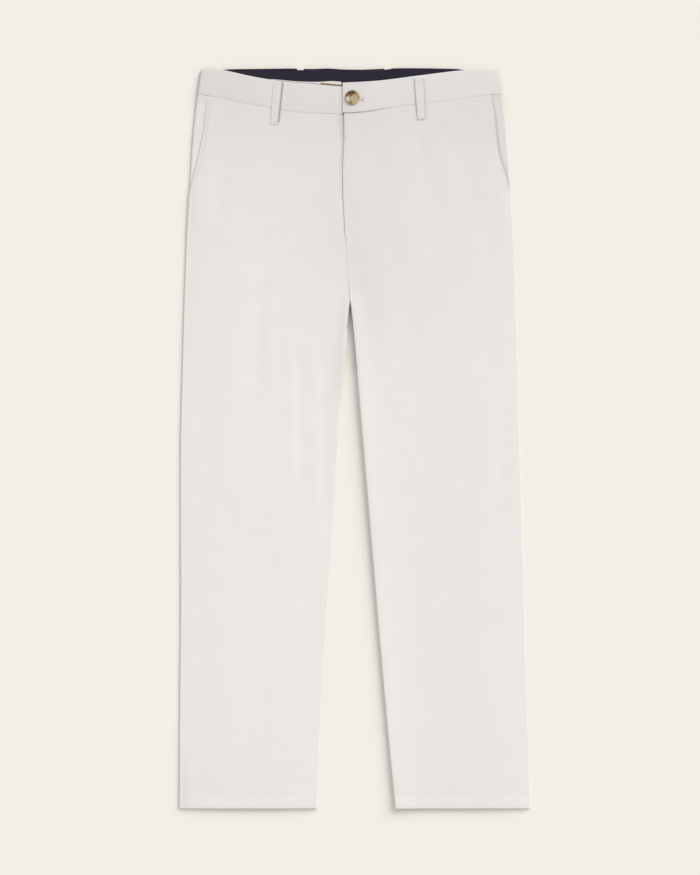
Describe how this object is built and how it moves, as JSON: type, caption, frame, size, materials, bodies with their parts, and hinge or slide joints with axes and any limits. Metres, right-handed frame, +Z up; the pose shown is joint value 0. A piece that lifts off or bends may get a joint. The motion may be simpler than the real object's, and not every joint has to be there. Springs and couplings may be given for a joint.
{
  "type": "chino trousers",
  "caption": "Flat-front off-white chino trousers laid flat, with slant pockets, belt loops, a closed fly and a button waist",
  "frame": {"origin": "centre of the bounding box's base, on the surface that the trousers lie on", "axes": "+Y from the hems to the waist, +X to the right seen from above (the wearer's left leg), +Z up through the front"},
  "size_m": [0.5204, 1.096, 0.0114],
  "materials": {
    "twill": "matte off-white cotton twill",
    "lining": "matte navy cotton",
    "piping": "matte tan cotton",
    "zip": "woven polyester tape with a coil",
    "slider": "brushed metal",
    "button": "polished brown horn look"
  },
  "bodies": {
    "root": {"front_panel_right": "twill", "front_panel_left": "twill", "back_panel_right": "twill", "back_panel_left": "twill", "pocket_side_right": "twill", "pocket_side_left": "twill", "waistband_front_right": "twill", "waistband_front_left": "twill", "waistband_back": "twill", "waist_lining_back": "lining", "waist_inner_edge": "twill", "waist_piping": "piping", "belt_loop_front_right": "twill", "belt_loop_front_left": "twill", "belt_loop_back_right": "twill", "belt_loop_back_left": "twill", "fly_zip_tape": "zip", "fly_zip_slider": "slider", "waist_button": "button"}
  },
  "joints": []
}
